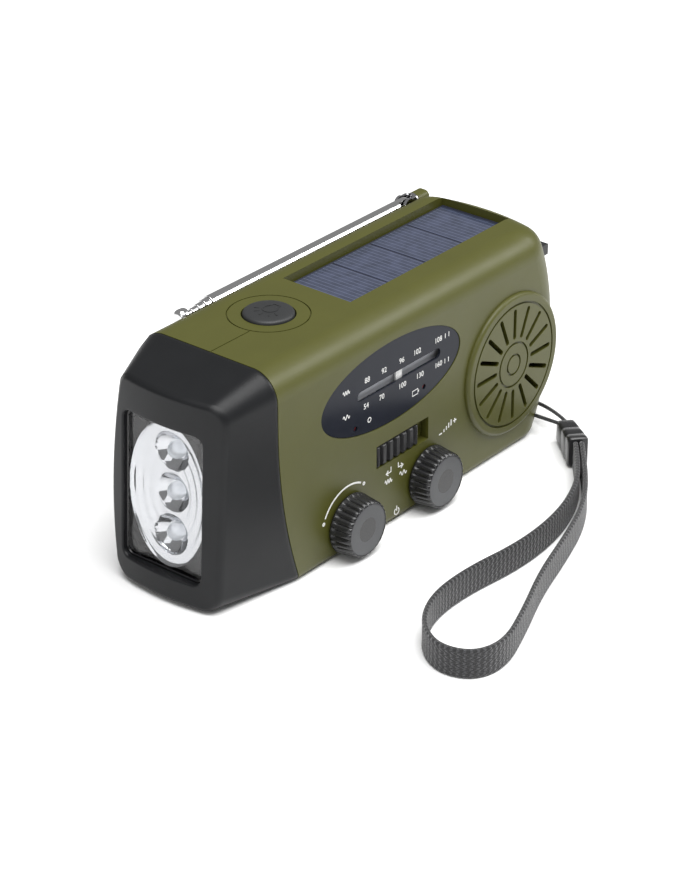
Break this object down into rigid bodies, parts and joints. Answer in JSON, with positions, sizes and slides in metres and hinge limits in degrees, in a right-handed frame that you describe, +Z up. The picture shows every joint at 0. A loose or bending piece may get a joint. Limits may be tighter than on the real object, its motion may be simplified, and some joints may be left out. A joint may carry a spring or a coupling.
{
  "type": "emergency radio",
  "caption": "Hand-crank emergency radio with lamp head, solar cell, tuning dial, speaker grille, folding crank, telescopic antenna and wrist strap",
  "frame": {"origin": "on the table, under the middle of the case", "axes": "+X towards the speaker end, +Y towards the crank (back), +Z up; the dial faces -Y and the lamp faces -X"},
  "size_m": [0.1412, 0.1182, 0.0611],
  "materials": {
    "olive_case": "satin moulded",
    "black_bezel": "satin moulded",
    "clear_lens": "clear polished",
    "reflector_chrome": "vacuum metallised",
    "led_clear": "clear dome",
    "board_green": "solder mask",
    "chip_black": "moulded",
    "solar_blue": "resin over cells",
    "button_rubber": "smooth",
    "switch_metal": "stamped",
    "dial_navy": "gloss printed",
    "dial_strip": "printed",
    "pointer_white": "moulded",
    "indicator_red": "tinted",
    "gear_nylon": "natural nylon",
    "knob_black": "gloss moulded",
    "shaft_steel": "turned",
    "tuner_cream": "moulded",
    "slider_black": "moulded",
    "speaker_steel": "stamped",
    "speaker_paper": "paper",
    "magnet_grey": "ferrite",
    "cover_rubber": "moulded",
    "battery_wrap": "shrink sleeve",
    "plate_steel": "stamped",
    "coil_copper": "enamelled wire",
    "antenna_chrome": "plated",
    "crank_black": "satin moulded",
    "strap_cord": "braided",
    "strap_web": "woven",
    "strap_clip": "moulded"
  },
  "bodies": {
    "case": {"front_shell": "olive_case", "rear_shell": "olive_case", "case_screws": "switch_metal", "lamp_bezel": "black_bezel", "lamp_lens": "clear_lens", "reflector": "reflector_chrome", "lamp_leds": "led_clear", "lamp_board": "board_green", "solar_panel": "solar_blue", "torch_switch": "switch_metal", "dial_window": "dial_navy", "dial_backing": "dial_strip", "indicator_leds": "indicator_red", "tuning_capacitor": "tuner_cream", "volume_control": "switch_metal", "band_switch": "switch_metal", "speaker_frame": "speaker_steel", "speaker_cone": "speaker_paper", "speaker_magnet": "magnet_grey", "main_board": "board_green", "board_chips": "chip_black", "usb_socket": "switch_metal", "earphone_socket": "chip_black", "battery_cells": "battery_wrap", "battery_tray": "chip_black", "idler_axle": "shaft_steel", "gear_plate": "plate_steel", "generator_can": "plate_steel", "generator_coils": "coil_copper", "antenna_base": "crank_black", "strap_lock": "strap_clip", "strap_string": "strap_cord", "strap_webbing": "strap_web"},
    "torch": {"torch_button": "button_rubber"},
    "pointer": {"dial_pointer": "pointer_white", "dial_rack": "gear_nylon"},
    "tuning": {"tuning_gear": "gear_nylon", "tuning_shaft": "shaft_steel", "tuning_knob": "knob_black"},
    "volume": {"volume_shaft": "shaft_steel", "volume_knob": "knob_black"},
    "slider": {"band_slider": "slider_black"},
    "cover": {"port_cover": "cover_rubber"},
    "crank": {"crank_gear": "gear_nylon", "crank_shaft": "shaft_steel", "crank_arm": "crank_black", "crank_screw": "shaft_steel", "handle_pin": "shaft_steel"},
    "idler": {"idler_gear": "gear_nylon"},
    "rotor": {"generator_rotor": "magnet_grey", "rotor_pinion": "gear_nylon"},
    "yoke": {"handle_yoke": "crank_black"},
    "grip": {"handle_grip": "crank_black"},
    "swivel": {"antenna_knuckle": "antenna_chrome", "antenna_pin": "antenna_chrome"},
    "rod": {"antenna_tube_1": "antenna_chrome"},
    "rod_2": {"antenna_tube_2": "antenna_chrome"},
    "rod_3": {"antenna_tube_3": "antenna_chrome"},
    "rod_4": {"antenna_tube_4": "antenna_chrome"},
    "rod_tip": {"antenna_tip": "antenna_chrome"}
  },
  "joints": [
    {"name": "torch_press", "type": "slide", "parent": "case", "child": "torch", "axis": [0, 0, -1], "range_m": [0, 0.0008], "stiffness_N_per_m": 150},
    {"name": "tuning_turn", "type": "hinge", "parent": "case", "child": "tuning", "pos_m": [-0.0255, -0.02, 0.0085], "axis": [0, 1, 0], "range_deg": [-144, 144]},
    {"name": "pointer_slide", "type": "slide", "parent": "case", "child": "pointer", "axis": [1, 0, 0], "range_m": [-0.01383, 0.01383]},
    {"name": "volume_turn", "type": "hinge", "parent": "case", "child": "volume", "pos_m": [0.0066, -0.02, 0.0085], "axis": [0, 1, 0], "range_deg": [-135, 135]},
    {"name": "band_slide", "type": "slide", "parent": "case", "child": "slider", "axis": [1, 0, 0], "range_m": [0, 0.0042]},
    {"name": "cover_hinge", "type": "hinge", "parent": "case", "child": "cover", "pos_m": [0.0679, -0.0111, 0.0363], "axis": [0, 1, 0], "range_deg": [0, 110]},
    {"name": "crank_spin", "type": "hinge", "parent": "case", "child": "crank", "pos_m": [-0.02, 0.028, 0.03], "axis": [0, 1, 0], "continuous": true},
    {"name": "idler_spin", "type": "hinge", "parent": "case", "child": "idler", "pos_m": [-0.002, 0.012, 0.03], "axis": [0, 1, 0], "continuous": true},
    {"name": "rotor_spin", "type": "hinge", "parent": "case", "child": "rotor", "pos_m": [0.013, 0.002, 0.03], "axis": [0, 1, 0], "continuous": true},
    {"name": "handle_fold", "type": "hinge", "parent": "crank", "child": "yoke", "pos_m": [0.027, 0.0292, 0.03], "axis": [0, 0, -1], "range_deg": [0, 90]},
    {"name": "grip_spin", "type": "hinge", "parent": "yoke", "child": "grip", "pos_m": [0.01, 0.0292, 0.03], "axis": [1, 0, 0], "continuous": true},
    {"name": "antenna_swivel", "type": "hinge", "parent": "case", "child": "swivel", "pos_m": [0.057, 0.0208, 0.0572], "axis": [-1, 0, 0], "range_deg": [0, 90]},
    {"name": "antenna_tilt", "type": "hinge", "parent": "swivel", "child": "rod", "pos_m": [0.0515, 0.0208, 0.0572], "axis": [0, 1, 0], "range_deg": [0, 90]},
    {"name": "rod_2_slide", "type": "slide", "parent": "rod", "child": "rod_2", "axis": [-1, 0, 0], "range_m": [0, 0.06]},
    {"name": "rod_3_slide", "type": "slide", "parent": "rod_2", "child": "rod_3", "axis": [-1, 0, 0], "range_m": [0, 0.06]},
    {"name": "rod_4_slide", "type": "slide", "parent": "rod_3", "child": "rod_4", "axis": [-1, 0, 0], "range_m": [0, 0.06]},
    {"name": "rod_tip_slide", "type": "slide", "parent": "rod_4", "child": "rod_tip", "axis": [-1, 0, 0], "range_m": [0, 0.06]}
  ],
  "couplings": [
    {"joint": "pointer_slide", "follows": "tuning_turn", "m_per_rad": 0.0055},
    {"joint": "idler_spin", "follows": "crank_spin", "ratio": -5},
    {"joint": "rotor_spin", "follows": "crank_spin", "ratio": 20}
  ]
}
